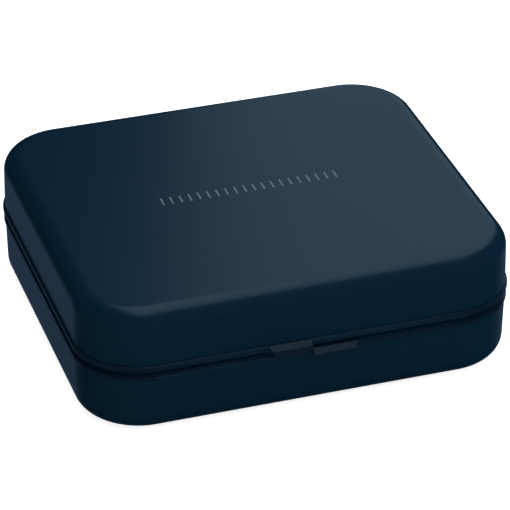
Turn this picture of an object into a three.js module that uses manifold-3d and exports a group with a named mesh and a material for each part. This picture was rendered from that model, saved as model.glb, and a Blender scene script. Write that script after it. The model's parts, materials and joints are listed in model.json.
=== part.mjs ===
// Wireless earbuds charging case, closed.
// Millimetres, +Z up. Origin: centre of the plane the case rests on.
// +X is the right end, -Y the front with the two finger tabs, +Y the hinge and charging port.

import * as THREE from 'three';
import { mergeVertices } from 'three/addons/utils/BufferGeometryUtils.js';
import { LoftGeometry } from 'three/addons/geometries/LoftGeometry.js';
import Module from 'manifold-3d';

// ---------------------------------------------------------------- driving dimensions

// outer form
const WIDTH = 80.0;            // over the shell walls at the parting line
const DEPTH = 70.5;
const CORNER_R = 12.0;         // plan corner radius at the parting line
const FOOT_PROUD = 0.30;       // the foot panel stands this far below the base shell
const BASE_H = 11.97;          // shell bottom to the middle of the parting gap
const LID_H = 12.31;           // middle of the parting gap to the lid top
const TOP_FILLET = 3.17;
const BOTTOM_FILLET = 3.06;
const LID_DRAFT = 0.23;        // how far the lid wall leans in at its top
const BASE_DRAFT = 0.25;       // how far the base wall leans in at its bottom
const BASE_INSET = 0.016;      // base wall inside the wall plane at the parting line
const SHELL_T = 0.90;          // drawn aluminium

const Z_SHELL = FOOT_PROUD;
const Z_PARTING = Z_SHELL + BASE_H;
const Z_TOP = Z_PARTING + LID_H;

// bead frames: heights from the parting plane, skirt faces as offsets from the wall plane
const BEAD_PROUD = 0.32;
const LID_BEAD_TOP = 1.76;
const BASE_BEAD_LOW = 1.17;
const HALF_GAP = 0.10;
const SKIRT_OUT = -1.15;
const SKIRT_IN = -2.15;
const LEDGE_IN = -3.15;
const BASE_SKIRT_LOW = 3.60;
const LID_SKIRT_HIGH = 5.00;

// finger tabs: front face Y, heights from the parting plane
const LID_TAB = { front: -36.97, bottom: 0.20, top: 1.60 };
const BASE_TAB = { front: -36.75, bottom: -1.17, top: -0.16 };

// hinge; knuckle ends are distances from the centre along X
const HINGE_Y = 36.5;
const KNUCKLE_R = 1.50;
const NOTCH_R = 1.75;
const PIN_R = 0.60;
const PIN_BORE_R = 0.68;
const LID_KNUCKLE = [4.2, 10.8];
const BASE_KNUCKLE = [11.0, 18.0];
const BARREL_HALF = 19.0;

// tray and wells; X is for the right well, the left one mirrors it
const TRAY = { bottom: 10.90, top: 11.70, offset: -2.30, chamfer: 0.25 };
const BODY_SEAT = { x: 19.0, y: 0, radius: 11.5, floor: 3.30 };
const STEM_SEAT = { x: 22.0, y: -19.0, radius: 6.0, floor: 6.00 };
const SHELF = { x: 13.0, halfY: 14, top: 6.50 };
const WALL_T = 0.80;
const OVERLAP = 0.2;           // added parts run this far into the plate they join

// lid liner
const LINER = { bottom: Z_PARTING + 1.30, top: Z_PARTING + 2.10, chamfer: 0.2 };
const POCKET_TOP = 22.50;

// charging contacts
const CONTACT = { x: 10.4, y: 2.4 };
const BLOCK = { halfX: 1.7, halfY: 4.5, clearance: 0.1 };

// board, battery and screws
const BOARD = { bottom: 3.20, top: 4.00 };
const CHIP_SEAT = BOARD.top + 0.05;
const BATTERY = { halfX: 28.0, front: 13.5, back: 25.0, bottom: 4.55, top: 9.55, chamfer: 0.7 };
const SCREWS = [[-24.0, 29.5], [24.0, 29.5], [0.0, -24.0]];
const BOSS_R = 1.60;

// window in the shell bottom for the foot panel
const FOOT_WINDOW = { halfX: 26, halfY: 22, radius: 8 };

// charging port (USB-C proportions)
const PORT = { width: 8.94, height: 3.26, z: 5.68 };

// closing magnets, the same plan in tray and liner
const MAGNET = { x: 32.6, y: -26.7, radius: 2.4, height: 2.05, gap: 0.1 };
const MAGNET_POCKET_R = 2.50;
const MAGNET_WALL_R = 2.95;

// button and light on the centre line
const BUTTON_Y = -12.0;
const LIGHT_Y = -19.5;

const SIDES = [-1, 1];         // left, right

// ---------------------------------------------------------------- solid helpers

const wasm = await Module();
wasm.setup();

// positions only, welded, without collapsed triangles, faces turned outward
function clean(geometry) {
  const soup = geometry.index ? geometry.toNonIndexed() : geometry;
  const bare = new THREE.BufferGeometry().setAttribute('position', soup.getAttribute('position'));
  const merged = mergeVertices(bare, 1e-4);
  const corner = (k) => new THREE.Vector3().fromBufferAttribute(merged.attributes.position, k);
  const indices = merged.index.array;
  const kept = [];
  let volume = 0;
  for (let i = 0; i < indices.length; i += 3) {
    const [a, b, c] = indices.slice(i, i + 3);
    if (a === b || b === c || a === c) continue;
    kept.push(a, b, c);
    volume += corner(a).dot(corner(b).cross(corner(c)));
  }
  if (volume < 0) {
    for (let i = 0; i < kept.length; i += 3) {
      [kept[i + 1], kept[i + 2]] = [kept[i + 2], kept[i + 1]];
    }
  }
  merged.setIndex(kept);
  return merged;
}

// a geometry as a manifold; a manifold passes through
function toManifold(part) {
  if (!part.isBufferGeometry) return part;
  const cleaned = clean(part);
  return new wasm.Manifold(new wasm.Mesh({
    numProp: 3,
    vertProperties: new Float32Array(cleaned.attributes.position.array),
    triVerts: new Uint32Array(cleaned.index.array),
  }));
}

function fromManifold(manifold) {
  const mesh = manifold.getMesh();
  const geometry = new THREE.BufferGeometry();
  const positions = new Float32Array(mesh.vertProperties);
  geometry.setAttribute('position', new THREE.BufferAttribute(positions, 3));
  geometry.setIndex(Array.from(mesh.triVerts));
  return geometry;
}

// all additions first, then all cuts
function combine(start, { add = [], cut = [] }) {
  let solid = toManifold(start);
  for (const part of add) solid = solid.add(toManifold(part));
  for (const part of cut) solid = solid.subtract(toManifold(part));
  return solid;
}

const build = (start, changes) => fromManifold(combine(start, changes));

// ---------------------------------------------------------------- shape helpers

// one closed loop round a rounded rectangle, counter-clockwise seen from above
function loop(halfX, halfY, radius, z, steps = 6) {
  const points = [];
  const corners = [[1, 1, 0], [-1, 1, 90], [-1, -1, 180], [1, -1, 270]]; // sign x, sign y, start
  for (const [signX, signY, start] of corners) {
    for (let i = 0; i <= steps; i++) {
      const angle = ((start + (90 * i) / steps) * Math.PI) / 180;
      points.push(new THREE.Vector3(
        signX * (halfX - radius) + radius * Math.cos(angle),
        signY * (halfY - radius) + radius * Math.sin(angle),
        z,
      ));
    }
  }
  return points;
}

const shifted = (points, x, y) => points.map((point) => point.add(new THREE.Vector3(x, y, 0)));

// a loop parallel to the shell wall plane, `offset` outside it
const ring = (offset, z) => loop(WIDTH / 2 + offset, DEPTH / 2 + offset, CORNER_R + offset, z);

// a band whose cross-section is the closed list of [offset, z] points
function band(profile) {
  const sections = profile.map(([offset, z]) => ring(offset, z));
  sections.push(sections[0]);
  return new LoftGeometry(sections, { closed: true });
}

const loft = (sections) => (
  new LoftGeometry(sections, { closed: true, capStart: true, capEnd: true })
);

// x0 and x1 may come in either order, so a side can mirror them
function box(x0, x1, y0, y1, z0, z1) {
  return new THREE.BoxGeometry(Math.abs(x1 - x0), y1 - y0, z1 - z0)
    .translate((x0 + x1) / 2, (y0 + y1) / 2, (z0 + z1) / 2);
}

function cylinderZ(x, y, radius, z0, z1, segments = 20) {
  return new THREE.CylinderGeometry(radius, radius, z1 - z0, segments)
    .rotateX(Math.PI / 2).translate(x, y, (z0 + z1) / 2);
}

// a cylinder on the hinge axis; x0 and x1 in either order
function hingeCylinder(x0, x1, radius) {
  return new THREE.CylinderGeometry(radius, radius, Math.abs(x1 - x0), 24)
    .rotateZ(Math.PI / 2).translate((x0 + x1) / 2, HINGE_Y, Z_PARTING);
}

const vectors = (points) => points.map(([x, y]) => new THREE.Vector2(x, y));

function prism(points, z0, z1) {
  const options = { depth: z1 - z0, bevelEnabled: false };
  return new THREE.ExtrudeGeometry(new THREE.Shape(vectors(points)), options).translate(0, 0, z0);
}

// [radius, z] points turned about a vertical axis
function turned(profile, segments, x = 0, y = 0) {
  return new THREE.LatheGeometry(vectors(profile), segments).rotateX(Math.PI / 2).translate(x, y, 0);
}

// an elliptical section swept along a path
function sweep(path, radiusX, radiusY, sides, steps) {
  const section = Array.from({ length: sides }, (_, i) => {
    const angle = (i * 2 * Math.PI) / sides;
    return [radiusX * Math.cos(angle), radiusY * Math.sin(angle)];
  });
  const options = { steps, extrudePath: path, bevelEnabled: false };
  return new THREE.ExtrudeGeometry(new THREE.Shape(vectors(section)), options);
}

// the port outline, made wider and higher by the extras, pushed along Y
function portSlot(extraWidth, extraHeight, radius, y0, y1, steps = 5) {
  const halfX = (PORT.width + extraWidth) / 2;
  const halfZ = (PORT.height + extraHeight) / 2;
  return loft([y1, y0].map((y) => loop(halfX, halfZ, radius, 0, steps)
    .map((point) => new THREE.Vector3(point.x, y, PORT.z + point.y))));
}

// the two circles of an earbud well, split where their outer tangents touch
function wellArcs(side, grow) {
  const bodyX = side * BODY_SEAT.x;
  const stemX = side * STEM_SEAT.x;
  const bodyR = BODY_SEAT.radius + grow;
  const stemR = STEM_SEAT.radius + grow;
  const dx = stemX - bodyX;
  const dy = STEM_SEAT.y - BODY_SEAT.y;
  const toStem = Math.atan2(dy, dx);
  const spread = Math.acos((bodyR - stemR) / Math.hypot(dx, dy));
  const arc = (x, y, radius, start, turn, steps) => Array.from({ length: steps + 1 }, (_, i) => {
    const angle = start + (turn * i) / steps;
    return [x + radius * Math.cos(angle), y + radius * Math.sin(angle)];
  });
  const nearStart = toStem - spread;
  return {
    far: arc(bodyX, BODY_SEAT.y, bodyR, toStem + spread, 2 * Math.PI - 2 * spread, 20),
    near: arc(bodyX, BODY_SEAT.y, bodyR, nearStart, 2 * spread, 12).slice(1, -1),
    stem: arc(stemX, STEM_SEAT.y, stemR, nearStart, 2 * spread, 12),
  };
}

// the body seat alone
function seatOutline(side, grow) {
  const { far, near } = wellArcs(side, grow);
  return [...far, ...near];
}

// body and stem seats joined by their outer tangents
function wellOutline(side, grow) {
  const { far, stem } = wellArcs(side, grow);
  return [...far, ...stem];
}

// ---------------------------------------------------------------- shells

// edge: height of the open edge; turn: where the wall meets the fillet;
// wallOffset: offset of the drafted wall at a height
const LID_FORM = {
  edge: Z_PARTING + LID_BEAD_TOP + 0.14,
  turn: Z_TOP - TOP_FILLET,
  wallOffset: (z) => -(LID_DRAFT * (z - Z_PARTING)) / LID_H,
  fillet: TOP_FILLET,
  up: true,
};
const BASE_FORM = {
  edge: Z_PARTING - BASE_BEAD_LOW - 0.10,
  turn: Z_SHELL + BOTTOM_FILLET,
  wallOffset: (z) => -BASE_INSET - (BASE_DRAFT * (Z_PARTING - z)) / BASE_H,
  fillet: BOTTOM_FILLET,
  up: false,
};

// a solid shell form, moved out by grow and run on past its open edge by overrun
function shellForm({ edge, turn, wallOffset, fillet, up }, grow, overrun) {
  const direction = up ? 1 : -1;
  const filletSteps = 5;
  const radius = fillet + grow;
  const edgeOffset = wallOffset(edge) + grow;
  const turnOffset = wallOffset(turn) + grow;
  const loops = overrun > 0 ? [ring(edgeOffset, edge - direction * overrun)] : [];
  loops.push(ring(edgeOffset, edge), ring(turnOffset, turn));
  for (let i = 1; i <= filletSteps; i++) {
    const angle = ((90 * i) / filletSteps) * (Math.PI / 180);
    loops.push(ring(
      turnOffset - radius * (1 - Math.cos(angle)),
      turn + direction * radius * Math.sin(angle),
    ));
  }
  // the loft runs from the lowest loop up
  return loft(up ? loops : loops.reverse());
}

// a hollow shell with further cuts
const shell = (form, cuts = []) => (
  build(shellForm(form, 0, 0), { cut: [shellForm(form, -SHELL_T, 1), ...cuts] })
);

const footLoop = (grow, z) => (
  loop(FOOT_WINDOW.halfX + grow, FOOT_WINDOW.halfY + grow, FOOT_WINDOW.radius + grow, z)
);

function baseShell() {
  const window = loft([footLoop(0, -1), footLoop(0, 3)]);
  const portHole = portSlot(1.66, 1.54, 2.3, 32.0, 38.0);
  return shell(BASE_FORM, [window, portHole]);
}

// fills the window, with a flange above the shell bottom
function footPanel() {
  const flangeBottom = Z_SHELL + SHELL_T + 0.08;
  const flangeTop = Z_SHELL + SHELL_T + 0.50;
  // growth from the window outline, z
  return loft([
    [-0.35, 0], [-0.15, 0.20], [-0.15, flangeBottom], [1.50, flangeBottom], [1.50, flangeTop],
  ].map(([grow, z]) => footLoop(grow, z)));
}

// ---------------------------------------------------------------- bead frames, tabs and knuckles

// a frame with its tab, and right and left knuckles joined to it between z0 and z1
function hingedFrame(frame, tab, [inner, outer], z0, z1) {
  const knuckles = [1, -1].flatMap((side) => [
    hingeCylinder(side * inner, side * outer, KNUCKLE_R),
    box(side * inner, side * outer, 34.5, HINGE_Y, z0, z1),
  ]);
  const notched = combine(frame, { cut: [hingeCylinder(-BARREL_HALF, BARREL_HALF, NOTCH_R)] });
  return build(notched, {
    add: [tab, ...knuckles],
    cut: [hingeCylinder(-BARREL_HALF, BARREL_HALF, PIN_BORE_R)],
  });
}

const tabPrism = (outline, { bottom, top }) => (
  prism(outline, Z_PARTING + bottom, Z_PARTING + top)
);

function lidFrame() {
  const bottom = Z_PARTING + HALF_GAP;
  const beadTop = Z_PARTING + LID_BEAD_TOP;
  const skirtTop = Z_PARTING + LID_SKIRT_HIGH;
  const ledgeTop = Z_PARTING + 3.40;
  const ledgeBottom = LINER.top + 0.10;
  // offset, z
  const frame = band([
    [0.00, bottom], [0.16, Z_PARTING + 0.30],
    [BEAD_PROUD, Z_PARTING + 0.75], [BEAD_PROUD, Z_PARTING + 1.58],
    [0.20, beadTop], [SKIRT_OUT, beadTop],
    [SKIRT_OUT, skirtTop], [SKIRT_IN, skirtTop],
    [SKIRT_IN, ledgeTop], [LEDGE_IN, ledgeTop],
    [LEDGE_IN, ledgeBottom], [SKIRT_IN, ledgeBottom],
    [SKIRT_IN, bottom],
  ]);
  // x, y; left of centre
  const tab = tabPrism([
    [-8.45, -34.6], [-8.30, -35.45], [-7.32, -36.76], [-7.02, LID_TAB.front],
    [-0.45, LID_TAB.front], [-0.25, -36.78], [-0.25, -34.6],
  ], LID_TAB);
  return hingedFrame(frame, tab, LID_KNUCKLE, bottom, Z_PARTING + 1.50);
}

function baseFrame() {
  const top = Z_PARTING - HALF_GAP;
  const beadBottom = Z_PARTING - BASE_BEAD_LOW;
  const skirtBottom = Z_PARTING - BASE_SKIRT_LOW;
  const grooveFloor = Z_PARTING - 0.75;
  const ledgeTop = TRAY.bottom - 0.08;
  // offset, z
  const frame = band([
    [0.05, beadBottom], [BEAD_PROUD, Z_PARTING - 0.98],
    [BEAD_PROUD, Z_PARTING - 0.42], [0.20, Z_PARTING - 0.18], [0.02, top],
    [-0.90, top], [-0.90, grooveFloor], [-1.50, grooveFloor], [-1.50, top],
    [SKIRT_IN, top], [SKIRT_IN, ledgeTop],
    [LEDGE_IN, ledgeTop], [LEDGE_IN, skirtBottom],
    [SKIRT_OUT, skirtBottom], [SKIRT_OUT, beadBottom],
  ]);
  // x, y; right of centre
  const tab = tabPrism([
    [0.05, -34.8], [0.05, -36.60], [0.20, BASE_TAB.front], [7.38, BASE_TAB.front],
    [7.68, -36.56], [8.38, -35.72], [8.60, -34.8],
  ], BASE_TAB);
  return hingedFrame(frame, tab, BASE_KNUCKLE, beadBottom, top);
}

// sits in the groove of the base frame
function rimGasket() {
  const bottom = Z_PARTING - 0.70;
  const top = Z_PARTING + 0.02;
  return band([[-0.95, bottom], [-0.95, top], [-1.45, top], [-1.45, bottom]]);
}

// ---------------------------------------------------------------- hinge pin and spring

// a pin with a formed head at each end
function hingePin() {
  // radius, x; the right end, from the tip inward
  const head = [[0, 18.62], [0.80, 18.62], [1.05, 18.45], [1.05, 18.12], [PIN_R, 18.12]];
  const mirrored = head.map(([radius, x]) => [radius, -x]);
  return new THREE.LatheGeometry(vectors([...mirrored, ...head.reverse()]), 20)
    .rotateZ(-Math.PI / 2).translate(0, HINGE_Y, Z_PARTING);
}

// torsion spring wound round the pin, with a short leg at each end
function hingeSpring() {
  const turns = 5.86;
  const halfLength = 3.1;
  const coilR = 1.0;
  const wireR = 0.16;
  const leg = { radius: 1.52, angle: 0.22, out: 0.06 };
  const start = Math.PI * 1.14;
  const sweepAngle = turns * 2 * Math.PI;
  const steps = Math.round(turns * 10);
  const at = (angle, radius, x) => new THREE.Vector3(
    x,
    HINGE_Y + radius * Math.cos(angle),
    Z_PARTING + radius * Math.sin(angle),
  );
  const points = [at(start - leg.angle, leg.radius, -halfLength - leg.out)];
  for (let i = 0; i <= steps; i++) {
    const along = i / steps;
    points.push(at(start + along * sweepAngle, coilR, -halfLength + 2 * halfLength * along));
  }
  points.push(at(start + sweepAngle + leg.angle, leg.radius, halfLength + leg.out));
  const path = new THREE.CatmullRomCurve3(points, false, 'catmullrom', 0.5);
  return sweep(path, wireR, wireR, 5, steps + 4);
}

// ---------------------------------------------------------------- tray with the two earbud wells

// the open well: deep round seat, shallower stem seat, raised contact shelf inboard
function wellHollow(side) {
  const top = TRAY.top + 2;
  return combine(prism(seatOutline(side, 0), BODY_SEAT.floor, top), {
    add: [prism(wellOutline(side, 0), STEM_SEAT.floor, top)],
    cut: [box(0, side * SHELF.x, -SHELF.halfY, SHELF.halfY, 0, SHELF.top)],
  });
}

// room for the contact block and its flex under the shelf, and a hole for each pin
function contactCuts(side) {
  const reach = BLOCK.halfX + BLOCK.clearance;
  const halfY = BLOCK.halfY + BLOCK.clearance;
  const inner = side * (CONTACT.x - reach);
  const outer = side * (CONTACT.x + reach);
  return [
    box(inner, outer, -halfY, halfY, 2.0, SHELF.top - WALL_T),
    box(side * 5.5, outer, -1.8, 1.8, 2.0, 3.10),
    ...[-CONTACT.y, CONTACT.y].map((y) => (
      cylinderZ(side * CONTACT.x, y, 0.62, 5.0, SHELF.top + 0.5, 12)
    )),
  ];
}

function tray() {
  const { bottom, top, offset, chamfer } = TRAY;
  const joinTop = bottom + OVERLAP;
  const plate = loft([
    ring(offset, bottom), ring(offset, top - chamfer), ring(offset - chamfer, top),
  ]);
  const wells = SIDES.flatMap((side) => [
    prism(seatOutline(side, WALL_T), BODY_SEAT.floor - WALL_T, joinTop),
    prism(wellOutline(side, WALL_T), STEM_SEAT.floor - WALL_T, joinTop),
    cylinderZ(side * MAGNET.x, MAGNET.y, MAGNET_WALL_R,
      bottom - MAGNET.height - MAGNET.gap, joinTop),
  ]);
  const bosses = SCREWS.map(([x, y]) => cylinderZ(x, y, BOSS_R, BOARD.top + 0.10, joinTop, 16));
  return build(plate, {
    add: [...wells, ...bosses],
    cut: [
      ...SIDES.map(wellHollow),
      ...SIDES.map((side) => (
        cylinderZ(side * MAGNET.x, MAGNET.y, MAGNET_POCKET_R, bottom - 3, bottom)
      )),
      ...SCREWS.map(([x, y]) => cylinderZ(x, y, 0.62, BOARD.top - 0.5, 8.0, 12)),
      ...SIDES.flatMap(contactCuts),
      cylinderZ(0, BUTTON_Y, 3.15, bottom - 1, top + 1, 28),
      cylinderZ(0, LIGHT_Y, 1.0, bottom - 1, top + 1, 16),
    ],
  });
}

// ---------------------------------------------------------------- lid liner, pads and magnets

// a plate with a hollow over each earbud
function lidLiner() {
  const { bottom, top, chamfer } = LINER;
  const plate = loft([
    ring(TRAY.offset - chamfer, bottom), ring(TRAY.offset, bottom + chamfer),
    ring(TRAY.offset, top),
  ]);
  return build(plate, {
    add: SIDES.flatMap((side) => [
      prism(wellOutline(side, WALL_T), bottom + OVERLAP, POCKET_TOP + WALL_T),
      cylinderZ(side * MAGNET.x, MAGNET.y, MAGNET_WALL_R,
        top - OVERLAP, top + MAGNET.height + MAGNET.gap),
    ]),
    cut: SIDES.flatMap((side) => [
      prism(wellOutline(side, 0), bottom - 2, POCKET_TOP),
      cylinderZ(side * MAGNET.x, MAGNET.y, MAGNET_POCKET_R, top, top + 4),
    ]),
  });
}

// round pad in the roof of each hollow; stations are radius, z
const lidPad = (side) => loft([[8.6, 21.55], [9.0, 21.85], [9.0, 22.4]].map(([radius, z]) => (
  shifted(loop(radius, radius, radius, z, 5), side * BODY_SEAT.x, 0)
)));

const closingMagnet = (side, z) => (
  cylinderZ(side * MAGNET.x, MAGNET.y, MAGNET.radius, z, z + MAGNET.height)
);
const lidMagnet = (side) => closingMagnet(side, LINER.top + MAGNET.gap);
const baseMagnet = (side) => closingMagnet(side, TRAY.bottom - MAGNET.gap - MAGNET.height);
const budMagnet = (side) => cylinderZ(side * STEM_SEAT.x, STEM_SEAT.y, 2.5, 3.0, 5.05);
const sensorMagnet = () => cylinderZ(0, -28.0, 1.5, LINER.top + MAGNET.gap, LINER.top + 1.6, 16);

// ---------------------------------------------------------------- coil, board and battery

// radius, z
const chargingCoil = () => turned([
  [7.0, 1.78], [17.0, 1.78], [17.0, 2.12], [7.0, 2.12], [7.0, 1.78],
], 36);

const ferriteSheet = () => loft([2.18, 2.42].map((z) => loop(18.5, 18.5, 6, z, 3)));

// a T in plan: a bar along the back and a spine running to the front
function mainBoard() {
  const outline = [
    [-28, 26], [-6.2, 26], [-6.2, -26.0], [-5.2, -27], [5.2, -27], [6.2, -26.0],
    [6.2, 26], [28, 26], [28, 31], [26, 33], [-26, 33], [-28, 31],
  ];
  return build(prism(outline, BOARD.bottom, BOARD.top), {
    cut: SCREWS.map(([x, y]) => cylinderZ(x, y, 0.72, 2, 5, 16)),
  });
}

// a block seated on the board
const onBoard = (x0, x1, y0, y1, height) => (
  box(x0, x1, y0, y1, CHIP_SEAT, CHIP_SEAT + height)
);

function battery() {
  const { halfX, front, back, bottom, top, chamfer } = BATTERY;
  const halfY = (back - front) / 2;
  // inset, z
  return loft([
    [chamfer, bottom], [0, bottom + chamfer], [0, top - chamfer], [chamfer, top],
  ].map(([inset, z]) => (
    shifted(loop(halfX - inset, halfY - inset, 1.6, z, 3), 0, (front + back) / 2)
  )));
}

// from the left end of the battery back to the connector
function batteryLead() {
  const path = new THREE.CatmullRomCurve3([
    [-28.35, 21.0, 7.5], [-29.4, 21.3, 7.4], [-29.8, 24.5, 6.1],
    [-29.3, 26.9, 5.0], [-28.1, 27.6, 4.75],
  ].map((point) => new THREE.Vector3(...point)));
  return sweep(path, 0.32, 0.62, 8, 12);
}

// radius, z; head below the board, shank up into the tray boss
const boardScrew = ([x, y]) => turned([
  [0, 2.5], [0.9, 2.5], [1.15, 2.7], [1.15, 3.12], [0.55, 3.12], [0.55, 7.0], [0, 7.3],
], 12, x, y);

// ---------------------------------------------------------------- charging port

const usbShell = () => build(portSlot(0, 0, 1.3, 27.4, 34.7, 4), {
  cut: [portSlot(-0.6, -0.6, 1.0, 27.9, 36.0, 4)],
});

const usbTongue = () => build(box(-3.6, 3.6, 28.0, 29.2, PORT.z - 1.0, PORT.z + 1.0), {
  add: [box(-3.35, 3.35, 29.0, 33.9, PORT.z - 0.35, PORT.z + 0.35)],
});

// a sleeve round the port with a flange at its inner end
const usbBezel = () => build(portSlot(1.46, 1.34, 2.2, 33.3, 35.25), {
  add: [portSlot(2.86, 2.34, 2.7, 33.3, 33.95)],
  cut: [portSlot(0.26, 0.24, 1.45, 32, 37)],
});

// ---------------------------------------------------------------- button, light and contacts

function pairingButton() {
  const top = TRAY.top + 0.22;
  const flangeBottom = TRAY.bottom - 0.65;
  const flangeTop = TRAY.bottom - 0.10;
  // radius, z
  return turned([
    [0, 6.05], [0.8, 6.05], [0.8, flangeBottom], [3.6, flangeBottom], [3.6, flangeTop],
    [3.0, flangeTop], [3.0, top - 0.2], [2.8, top], [0, top - 0.06],
  ], 28, 0, BUTTON_Y);
}

const tactSwitch = () => build(onBoard(-1.75, 1.75, BUTTON_Y - 1.75, BUTTON_Y + 1.75, 1.0), {
  add: [cylinderZ(0, BUTTON_Y, 0.9, BOARD.top + 0.9, BOARD.top + 1.55, 14)],
});

// radius, z
const lightPipe = () => turned([
  [0, 4.85], [0.9, 4.85], [0.9, 10.3], [0.9, TRAY.top], [0.6, TRAY.top + 0.08],
  [0, TRAY.top + 0.1],
], 14, 0, LIGHT_Y);

function contactBlock(side) {
  const inner = side * (CONTACT.x - BLOCK.halfX);
  const outer = side * (CONTACT.x + BLOCK.halfX);
  return build(box(inner, outer, -BLOCK.halfY, BLOCK.halfY, 3.05, 5.6), {
    cut: [-CONTACT.y, CONTACT.y].map((y) => (
      cylinderZ(side * CONTACT.x, y, 0.98, 3.9, 6.2, 14)
    )),
  });
}

const contactFlex = (side) => box(side * 4.6, side * 11.8, -1.6, 1.6, 2.75, 2.93);

// radius, z
const contactPin = (x, y) => turned([
  [0, 5.05], [0.85, 5.05], [0.85, 5.6], [0.55, 5.6], [0.55, 6.95], [0.42, 7.2], [0, 7.32],
], 12, x, y);

// ---------------------------------------------------------------- materials

const material = (options) => new THREE.MeshStandardMaterial(options);
const MATERIALS = {
  navy: material({ color: 0x1b3040, roughness: 0.42, metalness: 0.75 }),
  trim: material({ color: 0x1f3140, roughness: 0.48, metalness: 0.55 }),
  softBlack: material({ color: 0x0b0e11, roughness: 0.85, metalness: 0.0 }),
  tray: material({ color: 0x15181c, roughness: 0.62, metalness: 0.0 }),
  liner: material({ color: 0x1a1d21, roughness: 0.9, metalness: 0.0 }),
  steel: material({ color: 0xa8abae, roughness: 0.3, metalness: 1.0 }),
  gold: material({ color: 0xd8b25a, roughness: 0.25, metalness: 1.0 }),
  nickel: material({ color: 0xc2c4c6, roughness: 0.25, metalness: 1.0 }),
  board: material({ color: 0x14422c, roughness: 0.5, metalness: 0.0 }),
  chip: material({ color: 0x111214, roughness: 0.6, metalness: 0.0 }),
  copper: material({ color: 0xb06a3c, roughness: 0.35, metalness: 1.0 }),
  ferrite: material({ color: 0x2b2b2d, roughness: 0.8, metalness: 0.1 }),
  pouch: material({ color: 0x9aa0a6, roughness: 0.35, metalness: 0.8 }),
  foam: material({ color: 0x101214, roughness: 1.0, metalness: 0.0 }),
  clear: material({ color: 0xe8eef2, roughness: 0.1, metalness: 0.0 }),
  amber: material({ color: 0xb88a2a, roughness: 0.5, metalness: 0.0 }),
};

// ---------------------------------------------------------------- assembly

const model = new THREE.Group();
const lid = new THREE.Group();
const base = new THREE.Group();
model.add(base, lid);

function place(group, name, geometry, finish) {
  const mesh = new THREE.Mesh(clean(geometry), MATERIALS[finish]);
  mesh.name = name;
  group.add(mesh);
}

const sideName = (side) => (side < 0 ? 'left' : 'right');

function placePair(group, name, make, finish) {
  for (const side of SIDES) place(group, `${name}_${sideName(side)}`, make(side), finish);
}

// lid
place(lid, 'lid_shell', shell(LID_FORM), 'navy');
place(lid, 'lid_frame', lidFrame(), 'trim');
place(lid, 'lid_liner', lidLiner(), 'liner');
placePair(lid, 'lid_pad', lidPad, 'foam');
placePair(lid, 'lid_magnet', lidMagnet, 'nickel');
place(lid, 'lid_sensor_magnet', sensorMagnet(), 'nickel');

// base
place(base, 'base_shell', baseShell(), 'navy');
place(base, 'base_frame', baseFrame(), 'trim');
place(base, 'rim_gasket', rimGasket(), 'softBlack');
place(base, 'tray', tray(), 'tray');
place(base, 'foot_panel', footPanel(), 'softBlack');
place(base, 'charging_coil', chargingCoil(), 'copper');
place(base, 'ferrite_sheet', ferriteSheet(), 'ferrite');
place(base, 'battery', battery(), 'pouch');
place(base, 'battery_tape', box(-5.6, 5.6, 14.2, 24.3, 4.08, 4.47), 'amber');
place(base, 'battery_lead', batteryLead(), 'softBlack');
place(base, 'battery_connector', onBoard(-27.6, -25.8, 26.3, 29.1, 1.30), 'clear');
place(base, 'main_board', mainBoard(), 'board');
place(base, 'usb_shell', usbShell(), 'steel');
place(base, 'usb_tongue', usbTongue(), 'chip');
place(base, 'usb_bezel', usbBezel(), 'softBlack');
place(base, 'charge_ic', onBoard(-16.0, -12.0, 27.6, 31.6, 0.80), 'chip');
place(base, 'controller_ic', onBoard(-3.5, 3.5, 1.5, 8.5, 0.90), 'chip');
place(base, 'hall_sensor', onBoard(2.9, 5.8, -24.9, -23.3, 1.00), 'chip');
place(base, 'status_led', onBoard(-0.8, 0.8, LIGHT_Y - 0.5, LIGHT_Y + 0.5, 0.60), 'clear');
place(base, 'light_pipe', lightPipe(), 'clear');
place(base, 'tact_switch', tactSwitch(), 'steel');
placePair(base, 'contact_block', contactBlock, 'chip');
placePair(base, 'contact_flex', contactFlex, 'amber');
placePair(base, 'base_magnet', baseMagnet, 'nickel');
placePair(base, 'bud_magnet', budMagnet, 'nickel');
SCREWS.forEach((screw, i) => place(base, `board_screw_${i + 1}`, boardScrew(screw), 'steel'));
place(base, 'hinge_pin', hingePin(), 'steel');
place(base, 'hinge_spring', hingeSpring(), 'steel');

// moving pieces set in the tray
place(base, 'pairing_button', pairingButton(), 'tray');
for (const side of SIDES) {
  for (const [row, y] of [['front', -CONTACT.y], ['rear', CONTACT.y]]) {
    const pin = contactPin(side * CONTACT.x, y);
    place(base, `contact_pin_${sideName(side)}_${row}`, pin, 'gold');
  }
}

export default model;
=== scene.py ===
# A hinged charging case for a pair of earbuds, lid closed, with its inner parts and studio.
# It is modelled in millimetres and brought to metres piece by piece in settle().
# X runs left to right, the finger tabs are at the front (-Y), the hinge and the USB port at
# the rear (+Y). The lid and the base meet at the height PARTING_Z.
import json
import math

import bmesh
import bpy
from mathutils import Matrix, Vector


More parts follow.
